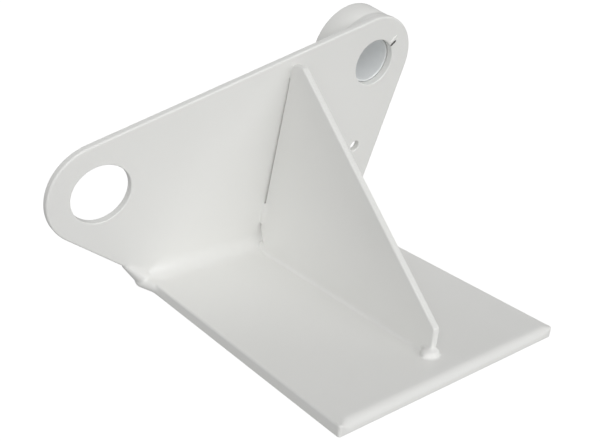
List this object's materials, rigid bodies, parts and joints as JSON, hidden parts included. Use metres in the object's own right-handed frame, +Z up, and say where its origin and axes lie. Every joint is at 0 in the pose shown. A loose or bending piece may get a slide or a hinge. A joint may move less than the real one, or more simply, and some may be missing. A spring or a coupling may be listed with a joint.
{
  "type": "bow roller bracket",
  "caption": "Welded steel bracket: flat base, side plate leaning over it with an open eye and a bushed pivot boss, and a triangular gusset between them.",
  "frame": {"origin": "the middle of the base plate's underside", "axes": "+Z up, out of the base; +X along the side plate, from the open eye to the pivot boss; +Y from the base's free edge to the side plate"},
  "size_m": [0.2205, 0.1628, 0.1443],
  "materials": {
    "paint_white": "thick glossy white paint",
    "paint_weld": "the same paint over weld beads",
    "bush_steel": "bare machined steel"
  },
  "bodies": {
    "root": {"base_plate": "paint_white", "side_plate": "paint_white", "gusset": "paint_white", "pivot_boss": "paint_white", "boss_bush": "bush_steel", "weld_root": "paint_weld", "weld_back_seam": "paint_weld", "weld_end_left": "paint_weld", "weld_end_right": "paint_weld", "weld_gusset_foot_left": "paint_weld", "weld_gusset_foot_right": "paint_weld", "weld_gusset_side_right": "paint_weld", "weld_gusset_tack_left": "paint_weld", "weld_gusset_top": "paint_weld", "weld_gusset_nose": "paint_weld", "weld_boss_ring": "paint_weld"}
  },
  "joints": []
}
